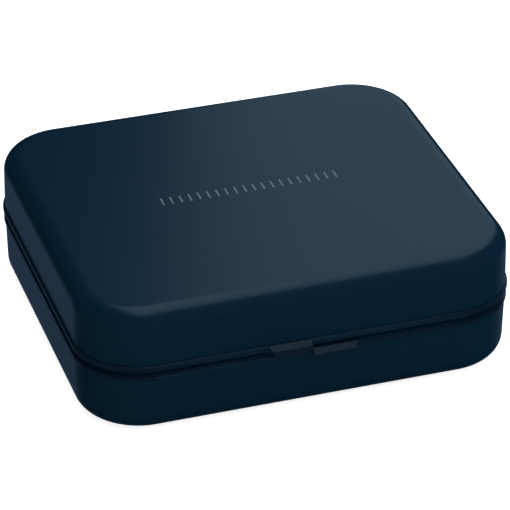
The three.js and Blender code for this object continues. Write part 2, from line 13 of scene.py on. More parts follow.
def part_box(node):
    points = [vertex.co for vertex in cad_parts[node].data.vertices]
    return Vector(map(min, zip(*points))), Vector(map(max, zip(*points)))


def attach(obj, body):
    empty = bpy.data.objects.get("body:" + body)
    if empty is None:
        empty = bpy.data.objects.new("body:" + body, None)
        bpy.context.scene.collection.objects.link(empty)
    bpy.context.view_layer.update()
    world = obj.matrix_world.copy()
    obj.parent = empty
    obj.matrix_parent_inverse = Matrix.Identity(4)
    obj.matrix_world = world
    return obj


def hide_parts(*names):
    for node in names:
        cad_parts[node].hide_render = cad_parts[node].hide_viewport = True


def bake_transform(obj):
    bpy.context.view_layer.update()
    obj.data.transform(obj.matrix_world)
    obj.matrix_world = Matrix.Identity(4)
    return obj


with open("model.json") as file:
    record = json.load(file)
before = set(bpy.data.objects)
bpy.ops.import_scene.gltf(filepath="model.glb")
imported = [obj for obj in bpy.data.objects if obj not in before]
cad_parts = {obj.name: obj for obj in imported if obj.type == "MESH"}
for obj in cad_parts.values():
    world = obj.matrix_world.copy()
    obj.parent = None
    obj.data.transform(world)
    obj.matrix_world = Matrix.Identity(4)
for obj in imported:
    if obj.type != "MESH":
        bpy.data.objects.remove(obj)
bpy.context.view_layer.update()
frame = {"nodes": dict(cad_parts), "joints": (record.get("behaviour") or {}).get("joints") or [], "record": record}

MM = 0.001
SIDES = ((-1, "left"), (1, "right"))

# ------------------------------------------------------------------ driving dimensions, mm
HINGE_POS = next(j for j in frame["joints"] if j["name"] == "lid_hinge")["pos_m"]
PARTING_Z = HINGE_POS[2] * 1000.0
HINGE_Y = HINGE_POS[1] * 1000.0
LID_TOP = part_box("lid_shell")[1].z * 1000.0
BASE_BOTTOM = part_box("base_shell")[0].z * 1000.0

# plan of the walls at the parting line
HALF_X, HALF_Y, CORNER_R = 40.0, 35.25, 12.0
SHELL_T = 0.90
LID_ROLL_R, BASE_ROLL_R = 3.17, 3.06
LID_DRAFT, BASE_DRAFT = 0.23, 0.25       # how far each wall leans in over its whole height
BASE_INSET = 0.016                       # the base wall starts this far inside the lid's

# bottom window, filled by the foot panel
WINDOW_HALF_X, WINDOW_HALF_Y, WINDOW_R = 26.0, 22.0, 8.0

# tray, and the earbud wells: a round seat and a smaller stem end
TRAY_LO, TRAY_HI = 10.90, 11.70
PLATE_INSET, PLATE_ROLL = 2.30, 0.35     # tray and liner plates
WELL_X, WELL_R = 19.0, 11.5
STEM_X, STEM_Y, STEM_R = 22.0, -19.0, 6.0
WELL_WALL = 0.8
MAGNET_X, MAGNET_Y = 32.6, -26.7
MAGNET_HOLE_R, MAGNET_POST_R = 2.5, 2.95
BUTTON_Y, LIGHT_Y = -12.0, -19.5
CONTACT_X, CONTACT_Y = 10.4, 2.4

# USB port
PORT_Z, PORT_W, PORT_H = 5.68, 8.94, 3.26
BEZEL_W, BEZEL_H, BEZEL_R = PORT_W + 1.46, PORT_H + 1.34, 2.2
BEZEL_GAP = 0.1


# ------------------------------------------------------------------ outlines
def quarter(steps, first=0):
    """(cos, sin) at equal steps from 0 to 90 degrees, starting at step first."""
    angles = [math.radians(90 * k / steps) for k in range(first, steps + 1)]
    return [(math.cos(a), math.sin(a)) for a in angles]


def part_way(p, q, k, count):
    return (p[0] + (q[0] - p[0]) * k / count, p[1] + (q[1] - p[1]) * k / count)


def rounded_rect(half_x, half_y, radius, seg=20, center_x=0.0, center_y=0.0):
    points = []
    for k, (sign_x, sign_y) in enumerate(((1, 1), (-1, 1), (-1, -1), (1, -1))):
        for i in range(seg + 1):
            a = math.radians(90 * k + 90 * i / seg)
            points.append((center_x + sign_x * (half_x - radius) + radius * math.cos(a),
                           center_y + sign_y * (half_y - radius) + radius * math.sin(a)))
    return points


def at_z(points, z):
    return [(x, y, z) for x, y in points]


def case_ring(offset, z, seg=24):
    """The case plan at height z, grown by offset."""
    return at_z(rounded_rect(HALF_X + offset, HALF_Y + offset, CORNER_R + offset, seg), z)


def window_loop(grow, seg=20):
    return rounded_rect(WINDOW_HALF_X + grow, WINDOW_HALF_Y + grow, WINDOW_R + grow, seg)


def rounded(path, closed=True, seg=5):
    """Rounds the corners of a 2D path of (u, v, radius)."""
    out = []
    count = len(path)
    for i, (u, v, radius) in enumerate(path):
        if radius <= 0 or (not closed and i in (0, count - 1)):
            out.append((u, v))
            continue
        corner = Vector((u, v))
        before = Vector(path[i - 1][:2]) - corner
        after = Vector(path[(i + 1) % count][:2]) - corner
        len_before, len_after = before.length, after.length
        before.normalize()
        after.normalize()
        half = math.acos(max(-1, min(1, before.dot(after)))) / 2
        if half > math.pi / 2 - 0.01:
            out.append((u, v))
            continue
        trim = min(radius / math.tan(half), 0.49 * len_before, 0.49 * len_after)
        fitted = trim * math.tan(half)
        center = corner + (before + after).normalized() * (fitted / math.sin(half))
        start = corner + before * trim - center
        end = corner + after * trim - center
        first = math.atan2(start.y, start.x)
        sweep = math.atan2(end.y, end.x) - first
        sweep = (sweep + math.pi) % (2 * math.pi) - math.pi
        for k in range(seg + 1):
            a = first + sweep * k / seg
            out.append((center.x + fitted * math.cos(a), center.y + fitted * math.sin(a)))
    return out


# ------------------------------------------------------------------ solids
# Only pieces that are kept get a name; the others are tools for cut() and join().
def tidy(ob, merge=1e-4):
    bm = bmesh.new()
    bm.from_mesh(ob.data)
    bmesh.ops.remove_doubles(bm, verts=bm.verts, dist=merge)
    bmesh.ops.dissolve_degenerate(bm, edges=bm.edges, dist=merge)
    bmesh.ops.recalc_face_normals(bm, faces=bm.faces)
    bm.to_mesh(ob.data)
    bm.free()
    return ob


def mesh_object(verts, faces, name):
    mesh = bpy.data.meshes.new(name)
    mesh.from_pydata([tuple(v) for v in verts], [], faces)
    mesh.validate()
    ob = bpy.data.objects.new(name, mesh)
    bpy.context.scene.collection.objects.link(ob)
    return tidy(ob)


def skin(sections, name="tool", closed=False, cap=True):
    """Quads between consecutive loops of equal length; closed joins the last to the first."""
    n = len(sections[0])
    count = len(sections)
    verts = [p for section in sections for p in section]
    faces = []
    for i in range(count if closed else count - 1):
        a, b = i * n, ((i + 1) % count) * n
        for j in range(n):
            k = (j + 1) % n
            faces.append((a + j, a + k, b + k, b + j))
    if cap and not closed:
        faces.append(tuple(range(n - 1, -1, -1)))
        faces.append(tuple((count - 1) * n + j for j in range(n)))
    return mesh_object(verts, faces, name)


def lathe(profile, name="tool", seg=48, axis="z", origin=(0, 0, 0)):
    """Solid of revolution; profile is (radius, height) and starts and ends on the axis."""
    sections = []
    for r, h in profile:
        section = []
        for i in range(seg):
            a = 2 * math.pi * i / seg
            if axis == "z":
                x, y, z = r * math.cos(a), r * math.sin(a), h
            else:
                x, y, z = h, r * math.cos(a), r * math.sin(a)
            section.append((origin[0] + x, origin[1] + y, origin[2] + z))
        sections.append(section)
    return skin(sections, name, cap=False)


def cylinder(radius, lo, hi, seg, **placing):
    return lathe([(0, lo), (radius, lo), (radius, hi), (0, hi)], seg=seg, **placing)


def prism(outline, z0, z1):
    return skin([at_z(outline, z0), at_z(outline, z1)])


def box(xs, ys, zs, name="tool"):
    """A box from (low, high) pairs."""
    (x0, x1), (y0, y1) = xs, ys
    return skin([[(x0, y0, z), (x1, y0, z), (x1, y1, z), (x0, y1, z)] for z in zs], name)


def on_side(side, near, far):
    """The (low, high) x pair of a span near..far from the middle, on one side."""
    return sorted((side * near, side * far))


def tube(points, radius, seg, name):
    """A round wire along points."""
    points = [Vector(p) for p in points]
    sections = []
    up = None
    for i, p in enumerate(points):
        along = (points[min(i + 1, len(points) - 1)] - points[max(i - 1, 0)]).normalized()
        if up is None:
            up = along.orthogonal().normalized()
        up = (up - along * up.dot(along)).normalized()
        across = along.cross(up)
        turns = [2 * math.pi * k / seg for k in range(seg)]
        sections.append([tuple(p + up * (radius * math.cos(a)) + across * (radius * math.sin(a)))
                         for a in turns])
    return skin(sections, name)


# ------------------------------------------------------------------ mesh operations
def apply_modifiers(ob):
    bpy.context.view_layer.update()
    depsgraph = bpy.context.evaluated_depsgraph_get()
    mesh = bpy.data.meshes.new_from_object(ob.evaluated_get(depsgraph))
    old = ob.data
    ob.modifiers.clear()
    ob.data = mesh
    bpy.data.meshes.remove(old)


def boolean(ob, tool, operation):
    mod = ob.modifiers.new("b", "BOOLEAN")
    mod.object, mod.operation, mod.solver = tool, operation, "EXACT"
    apply_modifiers(ob)
    bpy.data.objects.remove(tool)
    tidy(ob, 2e-4)


def cut(ob, tool):
    boolean(ob, tool, "DIFFERENCE")


def join(ob, tool):
    boolean(ob, tool, "UNION")


def soften(ob, width, angle=40, seg=2):
    """A small rolled edge on every edge sharper than angle."""
    mod = ob.modifiers.new("bevel", "BEVEL")
    mod.width, mod.segments = width, seg
    mod.limit_method, mod.angle_limit = "ANGLE", math.radians(angle)
    mod.use_clamp_overlap = True
    mod.miter_outer = "MITER_ARC"
    apply_modifiers(ob)
    tidy(ob)


def settle(ob, body, finish, piece=None):
    """To metres, smooth shading with hard edges kept, then finish, body and CAD piece."""
    ob.data.transform(Matrix.Scale(MM, 4))
    bm = bmesh.new()
    bm.from_mesh(ob.data)
    limit = math.radians(32)
    for face in bm.faces:
        face.smooth = True
    for edge in bm.edges:
        edge.smooth = not (len(edge.link_faces) == 2 and edge.calc_face_angle(0) > limit)
    bm.to_mesh(ob.data)
    bm.free()
    normals = ob.modifiers.new("normals", "WEIGHTED_NORMAL")
    normals.keep_sharp = True
    normals.weight = 80
    ob.data.materials.clear()
    ob.data.materials.append(FINISHES[finish])
    if body:
        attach(ob, body)
    if piece:
        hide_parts(piece)


# ------------------------------------------------------------------ shader node helpers
def add_node(tree, kind, **values):
    node = tree.nodes.new(kind)
    for name, value in values.items():
        node.inputs[name].default_value = value
    return node


def map_range(tree, value, start, end, low, high, smooth=False):
    """Maps start..end to low..high."""
    node = add_node(tree, "ShaderNodeMapRange",
                    **{"From Min": start, "From Max": end, "To Min": low, "To Max": high})
    if smooth:
        node.interpolation_type = "SMOOTHSTEP"
    tree.links.new(value, node.inputs["Value"])
    return node.outputs[0]


def color_mix(tree):
    """A colour mix, as its factor, first, second and result sockets."""
    mix = tree.nodes.new("ShaderNodeMix")
    mix.data_type = "RGBA"
    first, second = [s for s in mix.inputs if s.type == "RGBA"]
    result = [s for s in mix.outputs if s.type == "RGBA"][0]
    return mix.inputs[0], first, second, result


def srgb(r, g, b):
    def linear(c):
        c /= 255.0
        return c / 12.92 if c <= 0.04045 else ((c + 0.055) / 1.055) ** 2.4
    return (linear(r), linear(g), linear(b), 1.0)


def scaled(color, k):
    return (color[0] * k, color[1] * k, color[2] * k, 1.0)


class Finish:
    """A Principled material with object-space detail. Sizes and heights are in millimetres."""

    def __init__(self, name, base, rough, metallic=0.0, spec=0.5):
        self.material = bpy.data.materials.new(name)
        self.material.use_nodes = True
        self.tree = self.material.node_tree
        self.tree.nodes.clear()
        output = self.tree.nodes.new("ShaderNodeOutputMaterial")
        self.shader = add_node(self.tree, "ShaderNodeBsdfPrincipled", **{
            "Base Color": base, "Roughness": rough, "Metallic": metallic,
            "Specular IOR Level": spec})
        self.inputs = self.shader.inputs
        self.link(self.shader.outputs[0], output.inputs[0])
        self.base, self.rough = base, rough
        self.coords = self.tree.nodes.new("ShaderNodeTexCoord")
        self.normal = None
        self.color = None
        self.material.diffuse_color = base

    def link(self, source, target):
        self.tree.links.new(source, target)

    def texture(self, kind, scale, stretch=(1, 1, 1), **values):
        node = add_node(self.tree, kind, Scale=scale, **values)
        mapping = add_node(self.tree, "ShaderNodeMapping", Scale=stretch)
        self.link(self.coords.outputs["Object"], mapping.inputs["Vector"])
        self.link(mapping.outputs[0], node.inputs["Vector"])
        return node

    def noise(self, size, detail=3.0, stretch=(1, 1, 1)):
        node = self.texture("ShaderNodeTexNoise", 1000.0 / size, stretch,
                            Detail=detail, Roughness=0.55)
        return node.outputs["Fac"]

    def voronoi(self, size):
        return self.texture("ShaderNodeTexVoronoi", 1000.0 / size).outputs["Distance"]

    def set_color(self, socket):
        self.color = socket
        self.link(socket, self.inputs["Base Color"])

    def vary_rough(self, factor, amount, start=0.3, end=0.7):
        low, high = max(0.02, self.rough - amount), min(1, self.rough + amount)
        self.link(map_range(self.tree, factor, start, end, low, high), self.inputs["Roughness"])

    def vary_color(self, factor, low_color, high_color, start=0.3, end=0.7):
        mix_factor, first, second, result = color_mix(self.tree)
        first.default_value, second.default_value = low_color, high_color
        self.link(map_range(self.tree, factor, start, end, 0, 1), mix_factor)
        self.set_color(result)

    def vary_shade(self, factor, low, high, **span):
        """Varies the base colour between two brightness multiples."""
        self.vary_color(factor, scaled(self.base, low), scaled(self.base, high), **span)

    def bump(self, factor, height, strength):
        node = add_node(self.tree, "ShaderNodeBump", Strength=strength, Distance=height * MM)
        self.link(factor, node.inputs["Height"])
        if self.normal is not None:
            self.link(self.normal, node.inputs["Normal"])
        self.normal = node.outputs[0]
        self.link(self.normal, self.inputs["Normal"])

    def edge_wear(self, lighten, start, end, amount):
        """Lightens convex edges over the varied colour."""
        geometry = self.tree.nodes.new("ShaderNodeNewGeometry")
        mask = map_range(self.tree, geometry.outputs["Pointiness"], start, end, 0, amount)
        mix_factor, first, second, result = color_mix(self.tree)
        self.link(self.color, first)
        second.default_value = scaled(self.base, lighten)
        self.link(mask, mix_factor)
        self.set_color(result)


# ------------------------------------------------------------------ materials
def navy_anodised():
    f = Finish("navy_anodised", (0.0001, 0.0148, 0.0304, 1.0), rough=0.281, spec=0.4)
    f.vary_shade(f.noise(size=30, detail=1), low=0.93, high=1.07, start=0.0, end=1.0)
    f.vary_rough(f.noise(size=14, detail=1), amount=0.007, start=0.0, end=1.0)
    # bead-blasted grain, felt more than seen
    f.bump(f.noise(size=0.9, detail=2), height=0.0004, strength=0.3)
    return f.material


def trim_satin():
    f = Finish("trim_satin", (0.0018, 0.0108, 0.0220, 1.0), rough=0.307, spec=0.42)
    f.vary_shade(f.noise(size=14, detail=1), low=0.93, high=1.07, start=0.15, end=0.85)
    f.vary_rough(f.noise(size=8, detail=1), amount=0.013, start=0.0, end=1.0)
    f.bump(f.noise(size=0.8, detail=2), height=0.0004, strength=0.3)
    f.edge_wear(lighten=2.2, start=0.53, end=0.62, amount=0.35)
    return f.material


def plain(name, base, rough, grain, height, shade_var=0.12, rough_var=0.06):
    """A moulded or dull surface with a fine grain."""
    f = Finish(name, base, rough)
    f.vary_shade(f.noise(size=6), low=1 - shade_var, high=1 + shade_var)
    f.vary_rough(f.noise(size=3), rough_var)
    f.bump(f.noise(size=grain, detail=2), height, strength=0.5)
    return f.material


def tray_moulded():
    # fine spark-eroded texture of a moulded tray
    f = Finish("tray_moulded", srgb(27, 34, 42), rough=0.52)
    f.vary_shade(f.noise(size=12), low=0.9, high=1.1)
    f.vary_rough(f.noise(size=2.0, detail=4), amount=0.06)
    f.bump(f.voronoi(size=0.22), height=0.010, strength=0.55)
    f.bump(f.noise(size=0.5), height=0.004, strength=0.4)
    f.edge_wear(lighten=1.7, start=0.53, end=0.64, amount=0.3)
    return f.material


def liner_flock():
    f = Finish("liner_flock", srgb(33, 40, 48), rough=0.92, spec=0.2)
    f.vary_shade(f.noise(size=0.35, detail=4), low=0.72, high=1.3)
    f.inputs["Sheen Weight"].default_value = 0.35
    f.inputs["Sheen Roughness"].default_value = 0.45
    f.bump(f.noise(size=0.18), height=0.03, strength=0.8)
    return f.material


def pad_foam():
    f = Finish("pad_foam", srgb(24, 28, 33), rough=0.95, spec=0.15)
    # painted shade: the pits of the pores, sunk by the bump below, are darkened
    f.vary_shade(f.voronoi(size=0.5), low=0.6, high=1.25, start=0.1, end=0.6)
    f.bump(f.voronoi(size=0.5), height=0.06, strength=0.8)
    return f.material


def brushed(name, base, rough, stretch=(0.02, 1, 1)):
    """Metal with fine lines drawn out along the axis of least stretch."""
    f = Finish(name, base, rough, metallic=1.0)
    lines = f.noise(size=0.05, stretch=stretch)
    f.vary_rough(lines, amount=0.10)
    f.vary_shade(f.noise(size=4), low=0.88, high=1.08)
    f.bump(lines, height=0.002, strength=0.35)
    return f.material


def contact_gold():
    f = Finish("contact_gold", (0.86, 0.60, 0.20, 1), rough=0.22, metallic=1.0)
    f.vary_rough(f.noise(size=0.4), amount=0.08)
    f.vary_shade(f.noise(size=0.9), low=0.85, high=1.05)
    f.bump(f.noise(size=0.08, detail=2), height=0.001, strength=0.3)
    return f.material


def coil_copper():
    f = Finish("coil_copper", (0.62, 0.26, 0.11, 1), rough=0.34, metallic=1.0)
    winding = f.texture("ShaderNodeTexWave", scale=500.0 / 0.45)
    winding.wave_type = "RINGS"
    winding.rings_direction = "Z"
    turns = winding.outputs["Fac"]
    # painted shade: the grooves between the turns are darkened to a third, where the bump sinks
    f.vary_shade(turns, low=0.35, high=1.1, start=0.1, end=0.9)
    f.bump(turns, height=0.12, strength=0.9)
    return f.material


def board_mask():
    base = srgb(18, 74, 48)
    f = Finish("board_mask", base, rough=0.38)
    grid = f.texture("ShaderNodeTexBrick", scale=1000.0 / 2.4, **{
        "Color1": scaled(base, 1.25), "Color2": scaled(base, 1.05),
        "Mortar": scaled(base, 0.65), "Mortar Size": 0.03})
    f.set_color(grid.outputs["Color"])
    f.bump(grid.outputs["Fac"], height=0.02, strength=0.4)
    f.vary_rough(f.noise(size=1.5), amount=0.06)
    return f.material


def battery_pouch():
    f = Finish("battery_pouch", (0.52, 0.54, 0.56, 1), rough=0.34, metallic=0.85)
    f.vary_rough(f.noise(size=2.5, detail=5), amount=0.1)
    f.bump(f.noise(size=3.0, detail=4), height=0.05, strength=0.5)
    f.vary_shade(f.noise(size=7), low=0.9, high=1.05)
    return f.material


# material slot name: material
FINISHES = {
    "shell_navy": navy_anodised(),
    "trim_frame": trim_satin(),
    "gasket_rubber": plain("gasket_rubber", srgb(9, 12, 15), rough=0.78, grain=0.25, height=0.006),
    "tray_plastic": tray_moulded(),
    "liner_flock": liner_flock(),
    "pad_foam": pad_foam(),
    "foot_plastic": plain("foot_plastic", srgb(20, 25, 30), rough=0.66, grain=0.3, height=0.012,
                          rough_var=0.05),
    "bezel_black": plain("bezel_black", srgb(16, 19, 23), rough=0.34, grain=0.3, height=0.002),
    "button_plastic": plain("button_satin", srgb(46, 55, 64), rough=0.42, grain=0.15,
                            height=0.003),
    "port_steel": brushed("port_steel", (0.55, 0.56, 0.57, 1), rough=0.30),
    "pin_steel": brushed("pin_steel", (0.46, 0.48, 0.50, 1), rough=0.24),
    "screw_steel": brushed("screw_steel", (0.42, 0.43, 0.44, 1), rough=0.35, stretch=(1, 1, 0.1)),
    "contact_gold": contact_gold(),
    "magnet_nickel": brushed("magnet_nickel", (0.62, 0.62, 0.63, 1), rough=0.2,
                             stretch=(1, 1, 1)),
    "coil_copper": coil_copper(),
    "ferrite": plain("ferrite", srgb(52, 52, 55), rough=0.7, grain=0.2, height=0.01),
    "battery_pouch": battery_pouch(),
    "tape_amber": plain("tape_amber", srgb(170, 118, 38), rough=0.32, grain=0.6, height=0.01,
                        shade_var=0.2),
    "wire_sleeve": plain("wire_sleeve", srgb(28, 28, 31), rough=0.6, grain=0.3, height=0.01),
    "connector_white": plain("connector_white", srgb(226, 222, 212), rough=0.45, grain=0.4,
                             height=0.006, shade_var=0.04),
    "board_green": board_mask(),
    "chip_black": plain("chip_black", srgb(22, 22, 24), rough=0.55, grain=0.12, height=0.006),
    "lens_clear": plain("lens_clear", srgb(214, 222, 228), rough=0.28, grain=0.3, height=0.002,
                        shade_var=0.03),
    "mark_print": plain("mark_print", srgb(96, 100, 103), rough=0.5, grain=0.2, height=0.002,
                        shade_var=0.05),
}


# ------------------------------------------------------------------ shells
def lid_offset(z):
    return -(LID_DRAFT * (z - PARTING_Z)) / (LID_TOP - PARTING_Z)


def base_offset(z):
    return -BASE_INSET - (BASE_DRAFT * (PARTING_Z - z)) / (PARTING_Z - BASE_BOTTOM)


def build_shell(name, edge, turn, offset, radius, up):
    """A skin from cap to cap: inner roll and wall, rounded rim at edge, outer wall and roll.

    The wall ends at the height turn and rolls over by radius; up is 1 for the lid, -1 for
    the base.
    """
    rim_r, wall_steps = 0.05, 5
    inner_r = radius - SHELL_T
    roll = quarter(14)
    outer = [(offset(turn) - radius * (1 - c), turn + up * radius * s) for c, s in roll]
    inner = [(offset(turn) - SHELL_T - inner_r * (1 - c), turn + up * inner_r * s)
             for c, s in roll]
    rim_out, rim_in = offset(edge), offset(edge) - SHELL_T
    wall_z = edge + up * rim_r
    rim = [(rim_in + rim_r * (1 - c), edge + up * rim_r * (1 - s)) for c, s in quarter(5)]
    rim += [(rim_out - rim_r * (1 - s), edge + up * rim_r * (1 - c)) for c, s in quarter(5)]
    wall_in = [part_way((rim_in, wall_z), inner[0], k, wall_steps)
               for k in range(wall_steps - 1, 0, -1)]
    wall_out = [part_way((rim_out, wall_z), outer[0], k, wall_steps)
                for k in range(1, wall_steps)]
    profile = inner[::-1] + wall_in + rim + wall_out + outer
    return skin([case_ring(o, z, 28) for o, z in profile], name)


def build_lid_shell():
    ob = build_shell("lid_shell_skin", PARTING_Z + 1.83, LID_TOP - LID_ROLL_R, lid_offset,
                     LID_ROLL_R, up=1)
    settle(ob, "lid", "shell_navy", "lid_shell")


def port_section(width, height, radius, y):
    loop = rounded_rect(width / 2, height / 2, radius, 10)
    return [(x, y, PORT_Z + z) for x, z in loop]


def port_slot(width, height, radius, y0, y1, name="tool"):
    """A rounded slot along Y, centred on the port."""
    return skin([port_section(width, height, radius, y) for y in (y0, y1)], name)


def build_base_shell():
    ob = build_shell("base_shell_skin", PARTING_Z - 1.20, BASE_BOTTOM + BASE_ROLL_R, base_offset,
                     BASE_ROLL_R, up=-1)
    window = prism(window_loop(0, 16), -1, 3)
    port = port_slot(BEZEL_W + 2 * BEZEL_GAP, BEZEL_H + 2 * BEZEL_GAP, BEZEL_R + BEZEL_GAP,
                     32.0, 38.0)
    cut(ob, window)
    cut(ob, port)
    settle(ob, "base", "shell_navy", "base_shell")


# ------------------------------------------------------------------ bead frames
TAB_ROOT_Y = -34.95
TAB_STEP = 0.10                          # longest step along a tab's nose and front
KNUCKLE_R, KNUCKLE_CHAMFER = 1.5, 0.16
HINGE_RECESS_R, HINGE_BORE_R, HINGE_CUT_X = 1.75, 0.68, 19.0

# bead: section as (offset from the case plan, z above the parting line, corner radius)
# front: the tab's front edge as (x, reach forward of its root, corner radius)
# nose: the tab's section as (reach, z above the parting line, corner radius)
# web: z span above the parting line; knuckle: x span, mirrored
FRAMES = {
    "lid": {
        "bead": [
            (-0.30, 0.24, 0.04), (0.05, 0.40, 0.15), (0.32, 1.10, 0.55), (0.32, 1.80, 0.20),
            (-0.02, 1.80, 0.0), (-0.02, 1.76, 0.0), (-1.15, 1.76, 0.0), (-1.15, 5.0, 0.08),
            (-2.15, 5.0, 0.08), (-2.15, 3.4, 0.0), (-3.15, 3.4, 0.08), (-3.15, 2.2, 0.08),
            (-2.15, 2.2, 0.0), (-2.15, 0.10, 0.12)],
        "front": [(-8.40, 0.40, 0), (-7.12, 2.10, 0.10), (-0.25, 2.10, 0.08), (-0.25, 1.90, 0)],
        "nose": [
            (0, 0.14, 0), (0, 1.79, 0), (0.62, 1.79, 0.03), (1.61, 1.05, 0.10),
            (2.02, 0.40, 0.20), (1.92, 0.14, 0.08)],
        "web": (0.10, 1.50),
        "knuckle": (4.2, 10.8)},
    "base": {
        "bead": [
            (0.20, -1.17, 0.10), (0.22, -0.52, 0.09), (-0.20, -0.46, 0.1), (-0.50, -0.24, 0.1),
            (-0.90, -0.10, 0.06), (-0.90, -0.75, 0.0), (-1.50, -0.75, 0.0), (-1.50, -0.10, 0.06),
            (-2.15, -0.10, 0.12), (-2.15, -1.45, 0.0), (-3.15, -1.45, 0.08), (-3.15, -3.6, 0.08),
            (-1.15, -3.6, 0.08), (-1.15, -1.17, 0.0)],
        "front": [(0.05, 1.70, 0), (0.05, 1.86, 0.08), (7.60, 1.86, 0.10), (8.62, 0.45, 0)],
        "nose": [
            (0, -1.17, 0), (0, -0.10, 0), (0.70, -0.10, 0.03), (1.76, -0.89, 0.10),
            (1.78, -1.17, 0.08)],
        "web": (-1.17, -0.10),
        "knuckle": (11.0, 18.0)},
}


def band(name, profile):
    """A closed (offset, z) profile carried round the case plan."""
    return skin([case_ring(o, z) for o, z in profile], name, closed=True)


def from_parting(points):
    return [(u, PARTING_Z + z, radius) for u, z, radius in points]


def hinge_place():
    return {"axis": "x", "origin": (0, HINGE_Y, PARTING_Z)}


def knuckle(x0, x1):
    r, c = KNUCKLE_R, KNUCKLE_CHAMFER
    profile = [(0, x0), (r - c, x0), (r - c * 0.3, x0 + c * 0.3), (r, x0 + c),
               (r, x1 - c), (r - c * 0.3, x1 - c * 0.3), (r - c, x1), (0, x1)]
    return lathe(profile, seg=40, **hinge_place())


def finger_tab(front, nose):
    """The nose carried along the front edge, cut off wherever the edge reaches less far."""
    loop = rounded(from_parting(nose), True, 4)
    fine_nose = []
    for i, p in enumerate(loop):
        q = loop[(i + 1) % len(loop)]
        count = max(1, math.ceil(math.dist(p, q) / TAB_STEP))
        fine_nose += [part_way(p, q, k, count) for k in range(count)]
    edge = rounded(front, False, 6)
    path = edge[:1]
    for p, q in zip(edge, edge[1:]):
        count = max(1, math.ceil(abs(q[1] - p[1]) / TAB_STEP))
        path += [part_way(p, q, k, count) for k in range(1, count + 1)]
    # cutting off folds parts of the nose flat, so the mesh is tidied a second time
    return tidy(skin([[(x, TAB_ROOT_Y - min(depth, reach), z) for depth, z in fine_nose]
                      for x, reach in path]))


def build_frame(body):
    spec = FRAMES[body]
    tab = finger_tab(spec["front"], spec["nose"])
    ob = band(body + "_frame_bead", rounded(from_parting(spec["bead"])))
    cut(ob, cylinder(HINGE_RECESS_R, -HINGE_CUT_X, HINGE_CUT_X, 48, **hinge_place()))
    join(ob, tab)
    near, far = spec["knuckle"]
    web_z = [PARTING_Z + z for z in spec["web"]]
    for side, _ in SIDES:
        join(ob, box(on_side(side, near + 0.04, far - 0.04), (34.5, HINGE_Y), web_z))
        join(ob, knuckle(*on_side(side, near, far)))
    cut(ob, cylinder(HINGE_BORE_R, -HINGE_CUT_X, HINGE_CUT_X, 32, **hinge_place()))
    soften(ob, 0.05, 38)
    settle(ob, body, "trim_frame", body + "_frame")


def build_gasket():
    # (offset, z above the parting line, corner radius)
    section = [(-0.95, -0.70, 0.05), (-0.95, 0.02, 0.18), (-1.45, 0.02, 0.18),
               (-1.45, -0.70, 0.05)]
    ob = band("rim_gasket_cord", rounded(from_parting(section)))
    settle(ob, "base", "gasket_rubber", "rim_gasket")


# ------------------------------------------------------------------ wells and tray
def well_arcs(side, grow):
    """The seat's far arc, its arc towards the stem, and the stem's end arc, all grown."""
    seat_x, seat_r = side * WELL_X, WELL_R + grow
    stem_x, stem_r = side * STEM_X, STEM_R + grow
    heading = math.atan2(STEM_Y, stem_x - seat_x)
    spread = math.acos((WELL_R - STEM_R) / math.hypot(stem_x - seat_x, STEM_Y))

    def arc(x, y, radius, start, sweep, count, steps):
        angles = [start + sweep * i / count for i in steps]
        return [(x + radius * math.cos(a), y + radius * math.sin(a)) for a in angles]

    far = arc(seat_x, 0.0, seat_r, heading + spread, 2 * math.pi - 2 * spread, 56, range(57))
    near = arc(seat_x, 0.0, seat_r, heading - spread, 2 * spread, 28, range(1, 28))
    stem = arc(stem_x, STEM_Y, stem_r, heading - spread, 2 * spread, 24, range(25))
    return far, near, stem


def seat_loop(side, grow):
    far, near, _ = well_arcs(side, grow)
    return far + near


def hull_loop(side, grow):
    """Seat and stem in one outline."""
    far, _, stem = well_arcs(side, grow)
    return far + stem


def bowl(loop, side, floor, floor_r):
    """A well cutter with a filleted floor and a mouth that flares at the tray top."""
    mouth_r, past = 0.55, 1.5
    sections = [at_z(loop(side, -floor_r * (1 - s)), floor + floor_r * (1 - c))
                for c, s in quarter(6)]
    sections += [at_z(loop(side, mouth_r * (1 - c)), TRAY_HI - mouth_r * (1 - s))
                 for c, s in quarter(5)]
    sections.append(at_z(loop(side, mouth_r), TRAY_HI + past))
    return skin(sections)


def add_magnet_post(ob, side, post_z, hole_z):
    origin = (side * MAGNET_X, MAGNET_Y, 0)
    join(ob, cylinder(MAGNET_POST_R, *post_z, 32, origin=origin))
    cut(ob, cylinder(MAGNET_HOLE_R, *hole_z, 32, origin=origin))


def cut_well(ob, side):
    """One earbud well with the pocket, channel and holes of its contact pins."""
    shelf_top = 6.5
    seat = bowl(seat_loop, side, floor=3.3, floor_r=2.2)
    shelf = box(on_side(side, 2.0, 13.0), (-14, 14), (0, shelf_top))
    soften(shelf, 0.5, seg=4)
    cut(seat, shelf)
    stem = bowl(hull_loop, side, floor=6.0, floor_r=1.6)
    # the stem bowl doesn't reach down into the shelf
    cut(stem, box(on_side(side, 0.5, 13.0), (-9.9, 14), (0, shelf_top)))
    cut(ob, stem)
    cut(ob, seat)
    cut(ob, box(on_side(side, 8.6, 12.2), (-4.6, 4.6), (2.0, 5.7)))
    cut(ob, box(on_side(side, 5.5, 12.2), (-1.8, 1.8), (2.0, 3.1)))
    pin_hole = [(0, 5.0), (0.62, 5.0), (0.62, 6.32), (0.80, 6.5), (0.80, 7.2), (0, 7.2)]
    for y in (-CONTACT_Y, CONTACT_Y):
        cut(ob, lathe(pin_hole, seg=28, origin=(side * CONTACT_X, y, 0)))


